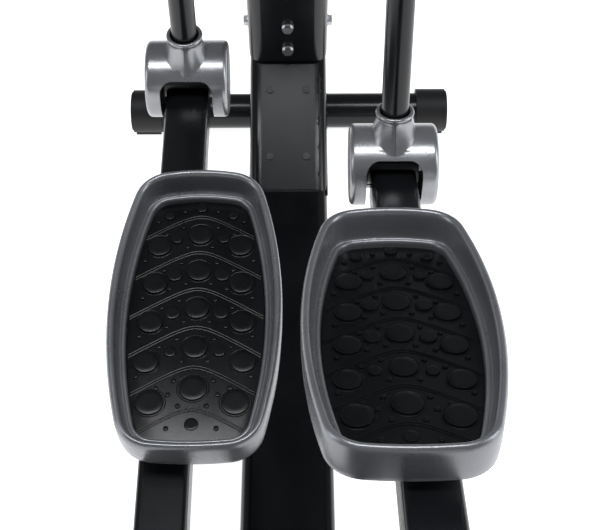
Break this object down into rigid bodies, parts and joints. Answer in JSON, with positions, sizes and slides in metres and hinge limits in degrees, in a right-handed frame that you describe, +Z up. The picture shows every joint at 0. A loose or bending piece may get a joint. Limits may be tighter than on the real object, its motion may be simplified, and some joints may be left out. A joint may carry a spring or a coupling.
{
  "type": "elliptical trainer",
  "caption": "Rear-drive elliptical trainer with a floor frame, leaning mast, swinging hand levers, rimmed foot trays on pedal arms, covered crank discs, flywheel housing and console.",
  "frame": {"origin": "on the floor at the middle of the machine's footprint", "axes": "+Z up, +Y forward from the flywheel housing towards the mast, +X to the rider's right"},
  "size_m": [0.4964, 1.784, 1.6245],
  "materials": {
    "belt": "ribbed rubber",
    "button_green": "silicone",
    "button_grey": "silicone",
    "cap_black": "matte moulded plastic",
    "console_black": "satin plastic",
    "console_face": "fine texture",
    "cover_grey": "satin silver-grey moulded plastic",
    "disc_grey": "satin plastic",
    "foam": "closed-cell foam",
    "iron": "cast and turned",
    "magnet": "nickel plated",
    "mat_rubber": "moulded rubber",
    "pedal_grey": "satin charcoal metallic moulded plastic",
    "powder_black": "satin powder coat",
    "pulley": "cast",
    "screen": "reflective display window",
    "screw_black": "black oxide",
    "shroud_black": "satin textured plastic",
    "steel": "turned steel",
    "zinc": "zinc plated"
  },
  "bodies": {
    "frame": {"base_rail": "powder_black", "front_crossbar": "powder_black", "front_end_caps": "cap_black", "neck": "powder_black", "neck_cover_plate": "powder_black", "plate_screws": "screw_black", "mast_tube": "powder_black", "mast_bolts": "zinc", "axle_bracket": "powder_black", "lever_axle": "steel", "rear_stabilizer": "powder_black", "rear_end_caps": "cap_black", "crank_uprights": "powder_black", "bearing_housing": "powder_black", "shaft_bearings": "steel", "shroud_left": "shroud_black", "shroud_right": "shroud_black", "drive_belt": "belt", "fixed_handlebar": "powder_black", "handlebar_grips": "foam", "pulse_sensors": "steel", "console_bracket": "powder_black", "console_back": "console_black", "console_front": "console_face", "console_screen": "screen"},
    "crank": {"crank_axle": "steel", "drive_pulley": "pulley", "crank_disc_left": "disc_grey", "crank_disc_right": "disc_grey"},
    "flywheel_set": {"flywheel": "iron", "flywheel_shaft": "steel"},
    "brake": {"brake_bracket": "zinc", "brake_magnets": "magnet"},
    "front_wheel_left": {"transport_wheel_left": "cap_black"},
    "front_wheel_right": {"transport_wheel_right": "cap_black"},
    "key_up": {"button_up": "button_grey"},
    "key_down": {"button_down": "button_grey"},
    "key_mode": {"button_mode": "button_grey"},
    "key_start": {"button_start": "button_green"},
    "lever_left": {"lever_tube_left": "powder_black", "upper_handle_left": "powder_black", "lever_grip_left": "foam", "pivot_cover_left": "cover_grey", "pivot_pin_left": "steel"},
    "pedal_arm_set_left": {"pedal_arm_left": "powder_black", "crank_pin_left": "steel", "pedal_shell_left": "pedal_grey", "pedal_mat_left": "mat_rubber", "pedal_bolts_left": "zinc"},
    "lever_right": {"lever_tube_right": "powder_black", "upper_handle_right": "powder_black", "lever_grip_right": "foam", "pivot_cover_right": "cover_grey", "pivot_pin_right": "steel"},
    "pedal_arm_set_right": {"pedal_arm_right": "powder_black", "crank_pin_right": "steel", "pedal_shell_right": "pedal_grey", "pedal_mat_right": "mat_rubber", "pedal_bolts_right": "zinc"}
  },
  "joints": [
    {"name": "crank_turn", "type": "hinge", "parent": "frame", "child": "crank", "pos_m": [0, -0.456, 0.388], "axis": [-1, 0, 0], "range_deg": [0, 90]},
    {"name": "lever_swing_left", "type": "hinge", "parent": "frame", "child": "lever_left", "pos_m": [-0.127, 0.552, 1.049], "axis": [1, 0, 0], "range_deg": [-18.61, 0]},
    {"name": "lever_swing_right", "type": "hinge", "parent": "frame", "child": "lever_right", "pos_m": [0.127, 0.552, 1.049], "axis": [1, 0, 0], "range_deg": [0, 20.64]},
    {"name": "arm_pivot_left", "type": "hinge", "parent": "lever_left", "child": "pedal_arm_set_left", "pos_m": [-0.127, 0.60864, 0.30716], "axis": [1, 0, 0], "range_deg": [0, 13.74]},
    {"name": "arm_pivot_right", "type": "hinge", "parent": "lever_right", "child": "pedal_arm_set_right", "pos_m": [0.127, 0.44339, 0.31297], "axis": [1, 0, 0], "range_deg": [-13.97, 0]},
    {"name": "flywheel_spin", "type": "hinge", "parent": "frame", "child": "flywheel_set", "pos_m": [0, -0.704, 0.33], "axis": [-1, 0, 0], "continuous": true},
    {"name": "brake_swing", "type": "hinge", "parent": "frame", "child": "brake", "pos_m": [0, -0.642, 0.482], "axis": [-1, 0, 0], "range_deg": [0, 8]},
    {"name": "wheel_roll_left", "type": "hinge", "parent": "frame", "child": "front_wheel_left", "pos_m": [-0.225, 0.873, 0.021], "axis": [1, 0, 0], "continuous": true},
    {"name": "wheel_roll_right", "type": "hinge", "parent": "frame", "child": "front_wheel_right", "pos_m": [0.225, 0.873, 0.021], "axis": [1, 0, 0], "continuous": true},
    {"name": "press_up", "type": "slide", "parent": "frame", "child": "key_up", "axis": [0, 0.6428, -0.766], "range_m": [0, 0.002], "stiffness_N_per_m": 300, "springref_m": -0.0006},
    {"name": "press_down", "type": "slide", "parent": "frame", "child": "key_down", "axis": [0, 0.6428, -0.766], "range_m": [0, 0.002], "stiffness_N_per_m": 300, "springref_m": -0.0006},
    {"name": "press_mode", "type": "slide", "parent": "frame", "child": "key_mode", "axis": [0, 0.6428, -0.766], "range_m": [0, 0.002], "stiffness_N_per_m": 300, "springref_m": -0.0006},
    {"name": "press_start", "type": "slide", "parent": "frame", "child": "key_start", "axis": [0, 0.6428, -0.766], "range_m": [0, 0.002], "stiffness_N_per_m": 300, "springref_m": -0.0006}
  ],
  "couplings": [
    {"joint": "lever_swing_left", "follows": "crank_turn", "ratio": -0.20617},
    {"joint": "lever_swing_right", "follows": "crank_turn", "ratio": 0.22876},
    {"joint": "arm_pivot_left", "follows": "crank_turn", "ratio": 0.15212},
    {"joint": "arm_pivot_right", "follows": "crank_turn", "ratio": -0.15467},
    {"joint": "flywheel_spin", "follows": "crank_turn", "ratio": 7}
  ]
}
